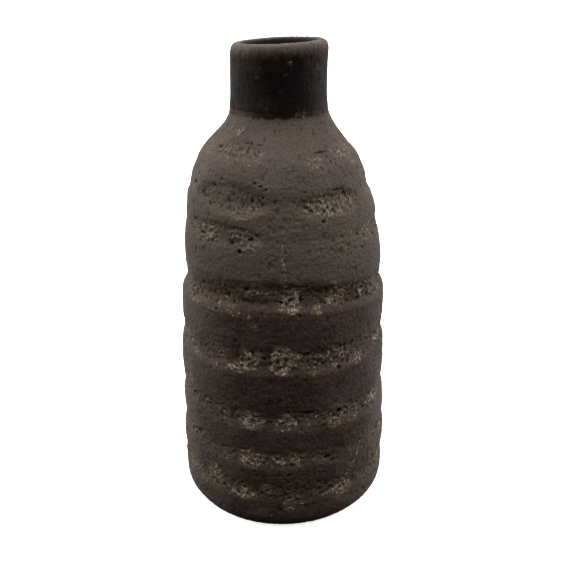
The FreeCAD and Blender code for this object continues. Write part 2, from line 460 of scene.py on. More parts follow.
# angle in degrees and height in mm
SCRATCH = [(21, 28.5), (30, 32.0), (37, 39.0), (43, 49.0), (47.5, 58.5)]
SCRATCH_RADIUS = 68


def arc_mm(middle, height):
    """The distance round the wall in mm from an angle in degrees to every point."""
    return np.radians(degrees_from(middle)) * mean_radius(height)


def single_holes(height):
    """Bowls with ragged rims: 1 - (x/a)^2 - (z/b)^2, cut off at 0, for each hole."""
    depth, dark = 0.0, 0.0
    jag = 0.35 * layered(ANGLE, height, 2.6, 410, 2)
    for angle, level, half_width, half_height, deep in HOLES:
        across, up = arc_mm(angle, height) / half_width, (height - level) / half_height
        bowl = np.clip(1 + jag - across**2 - up**2, 0, 1)
        depth = np.maximum(depth, deep * np.sqrt(bowl))
        # the second value is painted shade inside each hole
        dark = np.maximum(dark, step(0.0, 0.7, bowl))
    return depth, dark


def upright_seam(height):
    """A shallow wandering groove, 0 to 1, fading out at the top and the foot."""
    sway = 1.6 * noise(0 * ANGLE, height, 14.0, 421)
    along = step(SEAM_FOOT, SEAM_FOOT + 3, height) * (1 - step(SEAM_TOP - 25, SEAM_TOP, height))
    return hump(arc_mm(2.0, height) - sway, 1.8) * along


def thin_scratch(height):
    """A line 1.5 mm wide at its foot along a curve of angles and heights, 0 to 1."""
    angles, levels = np.array(SCRATCH, float).T
    line = smooth_line(DEGREES, SCRATCH)
    steepness = np.gradient(levels, np.radians(angles) * SCRATCH_RADIUS)
    slope = np.interp(DEGREES, angles, steepness)
    inside = (DEGREES > angles[0]) & (DEGREES < angles[-1])
    return hump((height - line) / np.sqrt(1 + slope**2), 0.75) * inside


hole_depth, hole_shade = single_holes(LEVELS)
seam = upright_seam(LEVELS)
scratch = thin_scratch(LEVELS)
print("holes placed:", len(HOLES))

# %% [markdown]
# ## The worn patches
#
# Pale clay shows on the high crumbs of the rough joints, with a thin ochre haze of clay
# dust round them. Each patch starts as an oval. Its shape is bent by noise, and then a
# second, finer noise decides which crumbs inside it are bare, the same trick that a
# painter uses with a dry brush. The front patches are listed one by one. At the sides and
# the back they are drawn at random along each joint, so that no side of the pot is plain.

# %% Where the clay shows
# angle, height, half width in degrees, half height in mm, strength
PATCHES = [
    (-12, 166.5, 12, 3.0, 0.60), (4.5, 163, 8.5, 9.5, 1.10), (17.5, 157.5, 4, 4.0, 0.65),
    (31, 164.5, 9, 9.5, 0.95), (48.5, 161, 3, 3.5, 0.90), (-56, 158, 15, 8.0, 0.65),
    (-31, 160, 12, 5.0, 0.50), (-20, 154.5, 24, 1.8, 0.75), (-14, 147.5, 5, 2.2, 0.75),
    (-17.5, 126, 8, 9.0, 0.95), (-22, 120, 14, 2.6, 0.90), (1, 126, 8.5, 11.5, 1.25),
    (16, 124, 8, 8.0, 0.65), (29, 125, 10, 8.5, 0.75), (43, 119, 9, 5.5, 0.65),
    (-36, 123, 12, 9.0, 0.50), (-52, 119, 6, 5.0, 0.45),
    (-31, 86, 5, 7.0, 0.60), (-17, 86, 8.5, 8.0, 0.95), (2, 85.5, 8.5, 8.5, 0.80),
    (18, 85, 7, 5.5, 0.45), (30, 85, 9, 9.5, 0.72), (42, 83, 8, 8.0, 0.60),
    (-31, 55, 6, 7.5, 0.50), (-17, 58.5, 8, 9.0, 0.85), (-3, 56, 7, 7.0, 0.60),
    (8, 57.5, 5, 6.0, 0.60), (21, 57, 6, 5.0, 0.50), (-40, 36, 9, 11, 0.80),
    (-48, 28, 6, 5.0, 0.60), (-21, 32, 9, 6.5, 0.80), (-10, 37, 6, 5.0, 0.60),
    (6, 26, 7, 8.0, 0.70), (-12, 19, 9, 4.0, 0.50), (33, 28, 8, 8.5, 0.75),
    (62, 57, 10, 20, 0.45), (66, 90, 8, 14, 0.30), (67, 160, 8, 8.0, 0.40),
    (-63, 85, 10, 30, 0.35), (-60, 40, 12, 18, 0.35), (-63, 122, 9, 16, 0.35),
    (-38, 240, 24, 5.5, 0.60), (-16, 240, 11, 5.5, 0.60), (29, 238, 10, 4.5, 0.75),
    (54, 240, 14, 5.0, 0.65), (67, 234, 6, 3.0, 0.70), (-38.5, 253.5, 4.5, 2.4, 1.30),
    (-18, 212, 12, 5.5, 0.75), (26, 215, 13, 8.5, 0.95), (44, 213, 14, 7.0, 0.65),
    (-62, 223, 9, 4.0, 0.70), (-48, 199, 17, 8.5, 0.80), (-20, 197, 14, 8.5, 0.85),
    (2, 200, 3, 26, 0.50), (2, 180, 2.5, 12, 0.75), (42, 196, 20, 12.0, 0.35),
    (-24, 283, 5, 1.3, 0.55), (9, 284, 5, 1.2, 0.45), (-12, 266, 3, 1.5, 0.45),
    (54, 286, 7, 1.3, 0.50), (24, 262, 8, 1.5, 0.45), (12, 290, 4, 1.4, 0.50),
]
FRONT_HALF = 58


def patches_at_the_back():
    """For each joint, ovals every 20 degrees or so beyond the front, from a seed."""
    rng = np.random.default_rng(505)
    patches = []
    for line in JOINTS:
        angle = FRONT_HALF + rng.uniform(0, 12)
        while angle < 360 - FRONT_HALF:
            column = int(angle / 360 * COLUMNS + COLUMNS / 2) % COLUMNS
            level = line[column] + rng.uniform(-2.5, 1.5)
            patches.append(
                (angle, level, rng.uniform(5, 13), rng.uniform(4, 8), rng.uniform(0.3, 0.9))
            )
            angle += rng.uniform(12, 30)
    return patches


def patch_strength(height):
    """How much each place was rubbed, 0 to about 1: the strongest of the bent ovals."""
    bend = 3.5 * noise(ANGLE, height, 8.0, 511), 2.2 * noise(ANGLE, height, 7.0, 512)
    strongest = 0.0
    for angle, level, half_width, half_height, strength in PATCHES + patches_at_the_back():
        across = (degrees_from(angle) + bend[0]) / half_width
        up = (height - level + bend[1]) / half_height
        oval = np.clip(1 - across**2 - up**2, 0, 1)
        strongest = np.maximum(strongest, strength * step(0, 0.7, oval))
    return strongest


def crumbs_and_haze(height, patch, rough):
    """Crumbs: 1 where fine noise passes a threshold that falls as the patch strengthens.
    Half of it is torn edges, 0.3 - 1.6 |noise|, which are bright where noise crosses 0.
    Haze: the patch itself in clouds, and a little over every rough joint."""
    grains = 0.55 * layered(ANGLE, height, 2.1, 520, 2, wide=1.2)
    edges = 0.3 - 1.6 * np.abs(noise(ANGLE, height, 3.4, 523, wide=1.5))
    cloud = layered(ANGLE, height, 11.0, 515, 3, wide=1.8)
    crumbs = step(-0.2, 0.70, grains + edges + 0.25 * cloud + 1.1 * (patch - 0.57))
    haze = np.clip(0.70 * patch * (1 + 0.6 * cloud) + 0.25 * rough + 0.10 * cloud, 0, 1)
    return crumbs, haze


patch = patch_strength(LEVELS)
crumbs, haze = crumbs_and_haze(LEVELS, patch, band_rough)
print("share of the wall with bare clay:", round(float((crumbs > 0.5).mean()), 3))

# %% [markdown]
# ## The surface itself
#
# Now the radius of the whole outside is summed up: outline, set-back straps, an
# out-of-round of half a millimetre, bands, marks, and then noise from lumps down to
# grains. Inside the bands the clay is torn, so there the noise is strong and pitted. The
# straps only keep the fine drag marks of the rag and scattered pinholes, and the neck was
# smoothed upwards.

# %% Add up the radius
NECK_FOOT = 258.0


def wall_surface(height):
    """The outside's radius in mm at every height and angle."""
    neck = step(NECK_FOOT - 4, NECK_FOOT + 4, height)
    body = 1 - neck
    oval = 0.45 * np.cos(2 * ANGLE + 0.7) + 0.25 * np.cos(3 * ANGLE + 2.0)
    lumps = layered(ANGLE, height, 34.0, 601, 2, wide=1.4)
    lumps = lumps * (0.5 + 0.4 * step(180, 210, height))
    dents = 0.18 * layered(ANGLE, height, 9.0, 611, 2, wide=1.8)
    drag = 0.07 * layered(ANGLE, height, 1.8, 621, 2, wide=7.0)
    upward = 0.05 * noise(ANGLE, height, 22.0, 631, wide=0.15)
    grain = 0.15 * layered(ANGLE, height, 2.0, 641, 2)
    pinholes = 0.6 * pits(ANGLE, height, 5.0, 0.36, 651)
    pinholes = pinholes + 0.4 * pits(ANGLE, height, 2.4, 0.35, 655)

    tears = 0.34 * layered(ANGLE, height, 5.0, 661, 2, wide=2.2)
    chips = 0.48 * layered(ANGLE, height, 2.3, 671, 2, wide=1.3)
    caves = 0.85 * pits(ANGLE, height, 4.4, 0.35, 681, wide=1.5)
    craters = 0.75 * pits(ANGLE, height, 2.2, 0.5, 691)

    radius = mean_radius(height) + set_back(height) + oval * (0.4 + 0.6 * body)
    radius = radius + strap_bulges(height) + (lumps + dents) * (0.35 + 0.65 * body)
    radius = radius - band_depth + drag * body + upward * neck
    radius = radius + (grain - pinholes) * (0.5 + 0.5 * body)
    radius = radius + band_rough * (tears + chips - caves - craters)
    radius = radius + 0.35 * crumbs * patch
    return radius - hole_depth - 0.3 * seam - 0.1 * scratch


wall_radius = wall_surface(LEVELS)
print("outside radius from", wall_radius.min().round(1), "to", wall_radius.max().round(1), "mm")

# %% [markdown]
# ## Painted shade, darkening, and dust with painted light
#
# Three more masks lie on the same grid: painted shade in the hollows, a darkening of the
# neck's front with painted shade inside the bore, and dust on the shoulder mixed with
# painted light from above and painted sheen on the sides. Painting them by hand would do,
# but a hollow is easily found: it is where the blurred surface stands out past the sharp one.

# %% Where it is stained, dusty and dirty
# heights in mm between which each finish takes over from the one below
NECK_EDGE = (259.2, 260.8)
LIP_EDGE = (291.5, 299.5)
BLUR_PASSES = 14


def blur(values, passes):
    """Softens an array by averaging each point with its neighbours, 1-2-1 both ways."""
    for _ in range(passes):
        values = (np.roll(values, 1, 1) + 2 * values + np.roll(values, -1, 1)) / 4
        padded = np.concatenate([values[:1], values, values[-1:]])
        values = (padded[:-2] + 2 * padded[1:-1] + padded[2:]) / 4
    return values


def on_neck(height):
    """1 on the neck and lip and 0 below, with a slightly ragged edge at the crease."""
    return step(*NECK_EDGE, height + 0.9 * layered(ANGLE, height, 6.0, 742, 3))


def on_lip(height):
    """1 on the lip's roll and 0 on the neck below it."""
    return step(*LIP_EDGE, height + 1.6 * layered(ANGLE, height, 9.0, 743, 2))


def neck_darkening(height):
    """How much the neck is darkened, 0 to 1: dense down the front, thinner round the sides,
    and none on the lip."""
    ragged = 13 * layered(ANGLE, height, 16.0, 741, 3)
    front = 1 - step(14, 46, np.abs(degrees_from(9) + ragged))
    return on_neck(height) * (0.06 + 0.94 * front) * (1 - on_lip(height))


def dust_and_painted_light(height):
    """How much the slip is lightened, 0 to 1, partly dust and partly painted light: ash
    settled above the wide joint, and painted light from above with it, most low on the
    front of the shoulder and less to the right of it. Below that joint the sides get
    painted sheen and the front none, the back takes less everywhere, and the lip all of it."""
    cloud = layered(ANGLE, height, 26.0, 751, 3, wide=1.2)
    upper = step(165, 177, height + 5 * cloud)
    front = upper * (1 - 0.18 * step(198, 222, height))
    sides = 0.24 + 0.42 * upper
    body = sides + (front - sides) * hump(degrees_from(2), 62)
    # paints less light to the right of the front
    less_on_right = 0.22 * upper * hump(degrees_from(55), 45)
    body = np.clip(body - less_on_right + 0.12 * cloud, 0, 1)
    body = body * (1 - 0.45 * step(95, 150, np.abs(DEGREES)))
    return body * (1 - on_neck(height)) + on_lip(height)


relief = blur(wall_radius, BLUR_PASSES) - wall_radius
# painted shade: dark where the surface lies below its blur, and inside the holes
hollow_shade = np.clip(step(0.11, 0.48, relief) + hole_shade, 0, 1)
ridge = step(0.05, 0.30, -relief)
WALL = {
    "radius": wall_radius,
    "clay": np.clip(crumbs + scratch + 0.6 * seam, 0, 1) * (1 - 0.7 * hollow_shade),
    "haze": np.clip(haze + 0.25 * ridge + scratch + 0.6 * seam, 0, 1),
    "hollow_shade": hollow_shade,
    # the neck front darkened, and painted shade inside the bore and the lip
    "dark_and_shade": neck_darkening(LEVELS),
    # dust, with painted light on the shoulder and painted sheen on the sides
    "dust_and_light": dust_and_painted_light(LEVELS) * (1 - 0.7 * step(0.45, 1.25, patch)) * (1 - 0.5 * seam),
}
# the share of the wall that carries painted shade in its hollows
print("share of the wall with dirt:", round(float((hollow_shade > 0.5).mean()), 3))

# %% [markdown]
# ## Cutting pieces out of the wall
#
# A piece is one closed sheet that runs up the outside, in along its top joint, down the
# inside and out along its bottom joint. As a grid it wraps both ways, like a tyre, so it
# has no border and no seam. Only the floor slab is different: its rings close on a single
# point at the middle of the top and of the underside.

# %% Rings read from the wall
WALL_MASKS = ("clay", "haze", "hollow_shade", "dark_and_shade", "dust_and_light")
RING_SPACING = 0.48


def read_wall(height):
    """The wall's radius and masks at any heights, straight between the grid's levels."""
    index = np.clip(height / GRID_STEP, 0, len(LEVELS) - 1.001)
    low = index.astype(int)
    part = index - low
    rows = {}
    for name, table in WALL.items():
        below = np.take_along_axis(table, low, 0)
        above = np.take_along_axis(table, low + 1, 0)
        rows[name] = below + (above - below) * part
    rows["height"] = height
    rows["bare"] = 0 * height
    return rows


def outside_rows(low, high):
    """Rings on the outside from one joint line up to the next."""
    count = max(2, round(float((high - low).mean()) / RING_SPACING))
    t = np.linspace(0, 1, count + 1)[:, None]
    return read_wall(low + (high - low) * t)


strap_rings = outside_rows(JOINTS[0], JOINTS[1])
print("rings on the outside of one strap:", len(strap_rings["radius"]))

# %% Rings of bare clay, and stacks of rings
# height and radius of the inside in mm
INSIDE = [
    (0, 60.6), (20, 60.6), (36.5, 60.4), (61.5, 60.0), (89, 58.8), (127.5, 57.0),
    (165, 54.0), (196, 50.7), (215.5, 46.2), (236.5, 36.6), (246, 27.6), (253.5, 20.6),
    (262, 20.4), (300, 20.5),
]
GROOVE_SPACING = 17


def plain_rows(radius, height):
    """Rings of bare clay at the given radii and heights."""
    radius, height = np.broadcast_arrays(radius + 0 * ANGLE, height + 0 * ANGLE)
    rows = {"radius": radius, "height": height, "bare": 1 + 0 * radius}
    rows.update({name: 0 * radius for name in WALL_MASKS})
    return rows


def inside_rows(high, low, count=9):
    """Rings down the inside, with the soft grooves that fingers leave while coiling."""
    t = np.linspace(0, 1, count)[:, None]
    height = high + (low - high) * t
    body = 1 - step(244, 256, height)
    grooves = 0.8 * np.sin(TURN * height / GROOVE_SPACING + 2 * np.sin(ANGLE)) * body
    uneven = 0.5 * layered(ANGLE, height, 24.0, 701, 2) * (0.2 + 0.8 * body)
    return plain_rows(smooth_line(height, INSIDE) + grooves + uneven, height)


def between(start, stop, count):
    """Rings on the straight way between two rings, both left out."""
    t = (np.arange(count) + 1)[:, None] / (count + 1)
    radius = start["radius"][-1] + (stop["radius"][0] - start["radius"][-1]) * t
    height = start["height"][-1] + (stop["height"][0] - start["height"][-1]) * t
    return plain_rows(radius, height)


def stack(parts):
    """Puts groups of rings one after the other, and gives the row where each starts."""
    names = parts[0].keys()
    rows = {name: np.concatenate([part[name] for part in parts]) for name in names}
    starts = np.cumsum([0] + [len(part["radius"]) for part in parts])[:-1]
    return rows, starts


print("bore at the lip, mm:", 2 * INSIDE[-1][1])

# %% [markdown]
# ## From rings to a Blender mesh
#
# The rings become vertices with foreach_set, which hands whole arrays to Blender. The
# masks go in as attributes, one number a vertex, and the materials read them by name. The
# edges along the joints are marked sharp, so that each face of a piece is shaded by
# itself and no dark line shows where two pieces meet.

# %% Faces and edges
def quads(rows, closed):
    """The four corners of every face of a grid that wraps round the pot, and, where it is
    closed, from its last ring to its first too."""
    row = np.arange(rows if closed else rows - 1)[:, None]
    column = np.arange(COLUMNS)[None, :]
    above, right = (row + 1) % rows, (column + 1) % COLUMNS
    corners = [
        row * COLUMNS + column,
        row * COLUMNS + right,
        above * COLUMNS + right,
        above * COLUMNS + column,
    ]
    return np.stack(corners, axis=-1).reshape(-1, 4)


def new_mesh(name, points, faces, corners_per_face):
    """A mesh from flat arrays of points and of face corners."""
    mesh = bpy.data.meshes.new(name)
    mesh.vertices.add(len(points))
    mesh.vertices.foreach_set("co", points.astype(np.float32).ravel())
    mesh.loops.add(len(faces))
    mesh.loops.foreach_set("vertex_index", faces.astype(np.int32))
    starts = np.cumsum(corners_per_face) - corners_per_face
    mesh.polygons.add(len(corners_per_face))
    mesh.polygons.foreach_set("loop_start", starts.astype(np.int32))
    mesh.update(calc_edges=True)
    return mesh


def mark_sharp(mesh, sharp_rows):
    """Marks the edges that run along the given rings."""
    ends = np.empty(len(mesh.edges) * 2, np.int32)
    mesh.edges.foreach_get("vertices", ends)
    rows = (ends // COLUMNS).reshape(-1, 2)
    sharp = (rows[:, 0] == rows[:, 1]) & np.isin(rows[:, 0], sharp_rows)
    attribute = mesh.attributes.new("sharp_edge", "BOOLEAN", "EDGE")
    attribute.data.foreach_set("value", sharp)


print("faces between two rings:", len(quads(2, closed=False)))

# %% One piece, in place of its node
MASKS = WALL_MASKS + ("bare",)


def add_piece(name, node, parts, material, poles=()):
    """Makes a piece from groups of rings, and puts it in the frame in place of a node.
    poles are the heights of the points that close its first and its last ring."""
    rows, starts = stack(parts)
    count = len(rows["radius"])
    points = place(rows["radius"], rows["height"]).reshape(-1, 3)
    faces = quads(count, closed=not poles)
    corners = np.full(len(faces), 4)
    faces = faces.ravel()
    values = {mask: rows[mask].ravel() for mask in MASKS}
    if poles:
        column = np.arange(COLUMNS)
        right = (column + 1) % COLUMNS
        first, last = count * COLUMNS, count * COLUMNS + 1
        fan = np.stack([right, column, first + 0 * column], axis=-1)
        top = (count - 1) * COLUMNS
        cap = np.stack([top + column, top + right, last + 0 * column], axis=-1)
        faces = np.concatenate([faces, fan.ravel(), cap.ravel()])
        corners = np.concatenate([corners, np.full(2 * COLUMNS, 3)])
        tips = [(LEAN[0][1] * MM, 0.0, height * MM) for height in poles]
        points = np.concatenate([points, tips])
        values = {mask: np.append(value, value[[0, -1]]) for mask, value in values.items()}
    mesh = new_mesh(name, points, faces, corners)
    mark_sharp(mesh, np.append(starts, starts - 1) % count)
    for mask, value in values.items():
        attribute = mesh.attributes.new(mask, "FLOAT", "POINT")
        attribute.data.foreach_set("value", value.astype(np.float32))
    mesh.materials.append(material)
    piece = bpy.data.objects.new(name, mesh)
    bpy.context.scene.collection.objects.link(piece)
    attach(piece, "root")
    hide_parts(node)
    print(f"{name}: {count} rings, {2 * count * COLUMNS} triangles")

# %% [markdown]
# ## Shader groups
#
# Several finishes share the same effects, so each effect is a node group, built once and
# placed in each material with its own values. A group puts out only colours, masks and
# heights, and the Principled shader stays in each material. Wiring nodes one by one takes
# many lines, so a few helpers come first.

# %% Small helpers for node trees
def new_group(name, inputs, outputs):
    """An empty shader group with named sockets. inputs maps a name to its default."""
    group = bpy.data.node_groups.new(name, "ShaderNodeTree")
    for label, default in inputs.items():
        kind = "NodeSocketColor" if isinstance(default, tuple) else "NodeSocketFloat"
        socket = group.interface.new_socket(label, in_out="INPUT", socket_type=kind)
        socket.default_value = default
    for label, kind in outputs.items():
        group.interface.new_socket(label, in_out="OUTPUT", socket_type=kind)
    start = group.nodes.new("NodeGroupInput")
    end = group.nodes.new("NodeGroupOutput")
    return group, start, end


def feed(tree, target, source):
    """Links source to target if it is a socket, and otherwise sets target's value."""
    if isinstance(source, bpy.types.NodeSocket):
        tree.links.new(source, target)
    else:
        target.default_value = source


def add_noise(tree, scale, stretch=(1, 1, 1), detail=3.0, roughness=0.55):
    """Noise on Object coordinates in metres. stretch makes it finer along x, y or z."""
    coordinates = tree.nodes.new("ShaderNodeTexCoord")
    mapping = tree.nodes.new("ShaderNodeMapping")
    mapping.inputs["Scale"].default_value = stretch
    texture = tree.nodes.new("ShaderNodeTexNoise")
    texture.inputs["Scale"].default_value = scale
    texture.inputs["Detail"].default_value = detail
    texture.inputs["Roughness"].default_value = roughness
    tree.links.new(coordinates.outputs["Object"], mapping.inputs["Vector"])
    tree.links.new(mapping.outputs["Vector"], texture.inputs["Vector"])
    return texture.outputs["Fac"]


def add_dots(tree, scale, radius, soft):
    """Round dots on Object coordinates: 1 inside radius of a cell's point, 0 outside."""
    coordinates = tree.nodes.new("ShaderNodeTexCoord")
    texture = tree.nodes.new("ShaderNodeTexVoronoi")
    texture.inputs["Scale"].default_value = scale
    tree.links.new(coordinates.outputs["Object"], texture.inputs["Vector"])
    return remap(tree, texture.outputs["Distance"], radius + soft, radius, 0, 1)


def remap(tree, source, low, high, out_low, out_high):
    """Carries the range low to high onto out_low to out_high, with an S-shaped step."""
    node = tree.nodes.new("ShaderNodeMapRange")
    node.interpolation_type = "SMOOTHSTEP"
    ends = {"From Min": low, "From Max": high, "To Min": out_low, "To Max": out_high}
    for label, value in ends.items():
        node.inputs[label].default_value = value
    tree.links.new(source, node.inputs["Value"])
    return node.outputs["Result"]


def combine(tree, operation, first, second):
    """One step of arithmetic between two values."""
    node = tree.nodes.new("ShaderNodeMath")
    node.operation = operation
    feed(tree, node.inputs[0], first)
    feed(tree, node.inputs[1], second)
    return node.outputs[0]


def blend_colour(tree, amount, under, over, kind="MIX"):
    """Lays one colour over another by an amount."""
    node = tree.nodes.new("ShaderNodeMix")
    node.data_type = "RGBA"
    node.blend_type = kind
    feed(tree, node.inputs["Factor"], amount)
    feed(tree, node.inputs[6], under)
    feed(tree, node.inputs[7], over)
    return node.outputs[2]


def read_mask(tree, name):
    """The value of one of the mesh's masks."""
    node = tree.nodes.new("ShaderNodeAttribute")
    node.attribute_name = name
    return node.outputs["Fac"]


print("masks that the groups can read:", MASKS)

# %% [markdown]
# ## The slip's tone
#
# Brushed slip is never one colour. It pools and thins in blotches, and iron in the clay
# makes small dark specks. A picture of slip could be wrapped round the pot, but noise at
# three sizes has no seam and stays sharp close up.

# %% Tone from three noises and a dot pattern
SPECK_COLOUR = (0.006, 0.005, 0.005, 1)


def slip_tone_group():
    """Blotches of two tones, 40 mm wide, with finer mottling and small dark specks."""
    group, start, end = new_group(
        "slip_tone",
        {"Dark": (0.03, 0.02, 0.02, 1), "Light": (0.06, 0.05, 0.04, 1), "Speck": 0.5},
        {"Color": "NodeSocketColor"},
    )
    blotch = remap(group, add_noise(group, 26.0, detail=4.0), 0.36, 0.66, 0, 1)
    mottle = remap(group, add_noise(group, 200.0, detail=4.0, roughness=0.7), 0.3, 0.7, 0, 1)
    grain = remap(group, add_noise(group, 800.0, detail=3.0, roughness=0.7), 0.38, 0.68, 0, 1)
    mixed = combine(group, "MULTIPLY", blotch, 0.25)
    mixed = combine(group, "ADD", mixed, combine(group, "MULTIPLY", mottle, 0.30))
    mixed = combine(group, "ADD", mixed, combine(group, "MULTIPLY", grain, 0.45))
    tone = blend_colour(group, mixed, start.outputs["Dark"], start.outputs["Light"])
    specks = add_dots(group, 420.0, 0.10, 0.10)
    specks = combine(group, "MULTIPLY", specks, start.outputs["Speck"])
    tone = blend_colour(group, specks, tone, SPECK_COLOUR)
    group.links.new(tone, end.inputs["Color"])
    return group


SLIP_TONE = slip_tone_group()
print(SLIP_TONE.name, "has", len(SLIP_TONE.nodes), "nodes")

# %% [markdown]
# ## The grain
#
# The clay holds sand, and the rag dragged it in level streaks. Both are finer than the
# mesh, so they go into a Bump node instead of into the shape. Noise that is stretched
# tenfold sideways makes the streaks.

# %% Sand and streaks as one height
def grain_group():
    """Sandy grain and the level streaks of a wet rag, put out as one height."""
    group, start, end = new_group(
        "clay_grain", {"Sand": 1.0, "Drag": 0.3}, {"Height": "NodeSocketFloat"}
    )
    sand = add_noise(group, 1100.0, detail=2.0, roughness=0.7)
    coarse = add_noise(group, 540.0, detail=3.0, roughness=0.6)
    drag = add_noise(group, 700.0, stretch=(0.1, 0.1, 1), detail=2.0)
    height = combine(group, "MULTIPLY", sand, start.outputs["Sand"])
    height = combine(group, "ADD", height, combine(group, "MULTIPLY", coarse, 1.2))
    drag = combine(group, "MULTIPLY", drag, start.outputs["Drag"])
    group.links.new(combine(group, "ADD", height, drag), end.inputs["Height"])
    return group


GRAIN = grain_group()
print(GRAIN.name, "has", len(GRAIN.nodes), "nodes")

# %% [markdown]
# ## The layers over the slip
#
# What lies on the slip comes in an order: fired clay and the darkening, partly painted
# shade, first, then the rubbed haze and crumbs, then dust with painted light, and at last
# painted shade in the hollows. The nodes lay one colour over the next in that order, each
# by a mask of the mesh. A fine crackle breaks up the masks, which alone would look as soft
# as the mesh is coarse.

# %% One colour over the next
PURPLE_TINT = (1.02, 0.985, 1.03, 1)
OLIVE_TINT = (0.995, 1.01, 0.95, 1)
# near black: the neck front's darkening, and painted shade inside the bore and lip
DARK_AND_SHADE_COLOUR = (0.0045, 0.0032, 0.0028, 1)
# near black, painted as shade in the hollows
HOLLOW_SHADE_COLOUR = (0.0035, 0.0026, 0.0021, 1)


def worn_group():
    """A darkening, partly painted shade, a haze of clay, bright crumbs of clay where their mask
    and a fine crackle allow, dust with painted light over all of it, and painted shade in
    the hollows. The fire left some of it purplish and some of it olive."""
    group, start, end = new_group(
        "worn_clay",
        {
            "Slip": (0.05, 0.04, 0.035, 1),
            "Dust": (0.12, 0.1, 0.09, 1),
            "Haze": (0.1, 0.08, 0.06, 1),
            "Clay": (0.3, 0.25, 0.2, 1),
            "Bare": (0.1, 0.08, 0.06, 1),
            "Dust Amount": 0.3,
        },
        {"Color": "NodeSocketColor"},
    )
    crackle = remap(group, add_noise(group, 900.0, detail=2.0, roughness=0.6), 0.34, 0.66, 0, 1)
    colour = blend_colour(
        group, read_mask(group, "bare"), start.outputs["Slip"], start.outputs["Bare"]
    )
    # darkens the neck's front, and paints shade inside the bore and the lip
    dark_and_shade = combine(group, "MULTIPLY", read_mask(group, "dark_and_shade"), 0.94)
    colour = blend_colour(group, dark_and_shade, colour, DARK_AND_SHADE_COLOUR)

    patchy = combine(group, "ADD", combine(group, "MULTIPLY", crackle, 0.7), 0.35)
    film = combine(group, "MULTIPLY", read_mask(group, "haze"), patchy)
    colour = blend_colour(group, film, colour, start.outputs["Haze"])
    show = combine(group, "ADD", read_mask(group, "clay"), crackle)
    show = remap(group, show, 1.0, 1.7, 0, 0.85)
    colour = blend_colour(group, show, colour, start.outputs["Clay"])
    # dust with painted light from above and painted sheen on the sides
    dust_and_light = combine(group, "MULTIPLY", read_mask(group, "dust_and_light"), start.outputs["Dust Amount"])
    speckled = combine(group, "ADD", combine(group, "MULTIPLY", crackle, 0.5), 0.75)
    dust_and_light = combine(group, "MULTIPLY", dust_and_light, speckled)
    colour = blend_colour(group, dust_and_light, colour, start.outputs["Dust"])
    hue = remap(group, add_noise(group, 34.0, detail=2.0), 0.36, 0.64, 0, 1)
    tint = blend_colour(group, hue, PURPLE_TINT, OLIVE_TINT)
    colour = blend_colour(group, 1.0, colour, tint, "MULTIPLY")
    # painted shade in the hollows, laid over everything else
    painted_shade = combine(group, "MULTIPLY", read_mask(group, "hollow_shade"), 0.9)
    colour = blend_colour(group, painted_shade, colour, HOLLOW_SHADE_COLOUR)
    group.links.new(colour, end.inputs["Color"])
    return group


WORN = worn_group()
print(WORN.name, "has", len(WORN.nodes), "nodes")

# %% [markdown]
# ## Materials
#
# Three finishes use those groups. The body has matt slip over sandy clay. The neck was
# smoothed with a wet thumb, so its slip is darker, denser and less sandy. The coil in the
# corner of the floor is bare fired clay. One function makes all three from a few numbers,
# so that they stay related, as clays from one kiln are.

# %% The finishes
SLIP_DARK = (0.0140, 0.0086, 0.0073, 1)
SLIP_LIGHT = (0.0730, 0.0480, 0.0410, 1)
NECK_DARK = (0.0070, 0.0042, 0.0034, 1)
NECK_LIGHT = (0.0290, 0.0195, 0.0165, 1)
# pale grey of dust, also standing for painted light and sheen
DUST_AND_LIGHT = (0.093, 0.075, 0.061, 1)
CLAY_HAZE = (0.118, 0.087, 0.060, 1)
CLAY_PALE = (0.300, 0.248, 0.198, 1)
# bare fired clay, made darker to paint shade inside the pot as well
BARE_CLAY_AND_SHADE = (0.030, 0.024, 0.019, 1)


def use_group(tree, group, **values):
    """Places a group in a material, with its own values. Underscores stand for spaces."""
    node = tree.nodes.new("ShaderNodeGroup")
    node.node_tree = group
    for label, value in values.items():
        feed(tree, node.inputs[label.replace("_", " ")], value)
    return node.outputs[0]


def stoneware(name, dark, light, dust_and_light, speck, sand, drag, roughness, relief_mm):
    """A clay finish: slip tone, then worn clay on top, and grain in the normal."""
    material = bpy.data.materials.new(name)
    material.use_nodes = True
    tree = material.node_tree
    shader = tree.nodes["Principled BSDF"]
    tone = use_group(tree, SLIP_TONE, Dark=dark, Light=light, Speck=speck)
    colour = use_group(
        tree, WORN, Slip=tone, Dust=DUST_AND_LIGHT, Haze=CLAY_HAZE, Clay=CLAY_PALE, Bare=BARE_CLAY_AND_SHADE,
        Dust_Amount=dust_and_light,
    )
    tree.links.new(colour, shader.inputs["Base Color"])
    height = use_group(tree, GRAIN, Sand=sand, Drag=drag)
    bump = tree.nodes.new("ShaderNodeBump")
    bump.inputs["Strength"].default_value = 1.0
    bump.inputs["Distance"].default_value = relief_mm * MM
    tree.links.new(height, bump.inputs["Height"])
    tree.links.new(bump.outputs["Normal"], shader.inputs["Normal"])
    shine = combine(tree, "MULTIPLY", add_noise(tree, 60.0), 0.16)
    shine = combine(tree, "ADD", shine, roughness)
    shine = combine(tree, "ADD", shine, combine(tree, "MULTIPLY", read_mask(tree, "clay"), 0.2))
    tree.links.new(shine, shader.inputs["Roughness"])
    shader.inputs["Specular IOR Level"].default_value = 0.08
    return material


